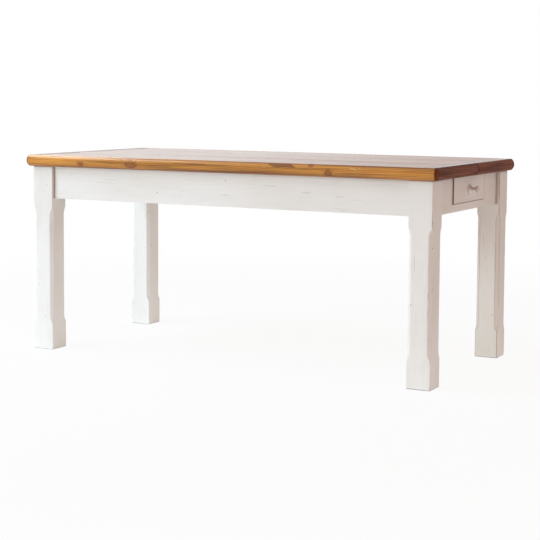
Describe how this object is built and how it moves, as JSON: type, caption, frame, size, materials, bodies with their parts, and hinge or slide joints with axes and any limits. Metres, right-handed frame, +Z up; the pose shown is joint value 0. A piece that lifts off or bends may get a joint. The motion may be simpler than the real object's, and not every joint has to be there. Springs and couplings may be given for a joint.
{
  "type": "kitchen table",
  "caption": "Farmhouse kitchen table: thick nosed plank top on square legs with stopped chamfers, painted aprons, and a small drawer with a turned knob in each end.",
  "frame": {"origin": "on the floor under the middle of the top", "axes": "+X along the table to the end seen in the picture, +Y from the front apron to the back, +Z up"},
  "size_m": [1.7578, 0.8498, 0.78],
  "materials": {
    "white_paint": "worn white paint",
    "honey_stain": "honey stain, satin",
    "brown_stain": "brown stain, satin",
    "dark_stain": "dark stain, satin",
    "raw_pine": "planed, unfinished",
    "zinc_steel": "zinc plated"
  },
  "bodies": {
    "table": {"back_apron": "white_paint", "back_left_corner_block": "raw_pine", "back_left_leg": "white_paint", "back_right_corner_block": "raw_pine", "back_right_leg": "white_paint", "corner_block_screws": "zinc_steel", "drawer_stops": "raw_pine", "front_apron": "white_paint", "front_left_corner_block": "raw_pine", "front_left_leg": "white_paint", "front_right_corner_block": "raw_pine", "front_right_leg": "white_paint", "left_cross_rail": "raw_pine", "left_drawer_left_runner": "raw_pine", "left_drawer_right_runner": "raw_pine", "left_end_rail": "white_paint", "leg_bolt_nuts": "zinc_steel", "leg_bolt_washers": "zinc_steel", "leg_bolts": "zinc_steel", "middle_cross_rail": "raw_pine", "right_cross_rail": "raw_pine", "right_drawer_left_runner": "raw_pine", "right_drawer_right_runner": "raw_pine", "right_end_rail": "white_paint", "top_back_edge": "honey_stain", "top_button_screws": "zinc_steel", "top_buttons": "raw_pine", "top_front_edge": "honey_stain", "top_left_end_back": "dark_stain", "top_left_end_front": "dark_stain", "top_plank_1": "brown_stain", "top_plank_2": "brown_stain", "top_plank_3": "brown_stain", "top_plank_4": "brown_stain", "top_plank_5": "brown_stain", "top_plank_6": "brown_stain", "top_right_end_back": "dark_stain", "top_right_end_front": "dark_stain"},
    "right_drawer": {"right_drawer_back": "raw_pine", "right_drawer_bottom": "raw_pine", "right_drawer_front": "white_paint", "right_drawer_knob": "white_paint", "right_drawer_knob_screw": "zinc_steel", "right_drawer_left_side": "raw_pine", "right_drawer_right_side": "raw_pine"},
    "left_drawer": {"left_drawer_back": "raw_pine", "left_drawer_bottom": "raw_pine", "left_drawer_front": "white_paint", "left_drawer_knob": "white_paint", "left_drawer_knob_screw": "zinc_steel", "left_drawer_left_side": "raw_pine", "left_drawer_right_side": "raw_pine"}
  },
  "joints": [
    {"name": "right_drawer_slide", "type": "slide", "parent": "table", "child": "right_drawer", "axis": [1, 0, 0], "range_m": [0, 0.25]},
    {"name": "left_drawer_slide", "type": "slide", "parent": "table", "child": "left_drawer", "axis": [-1, 0, 0], "range_m": [0, 0.25]}
  ]
}
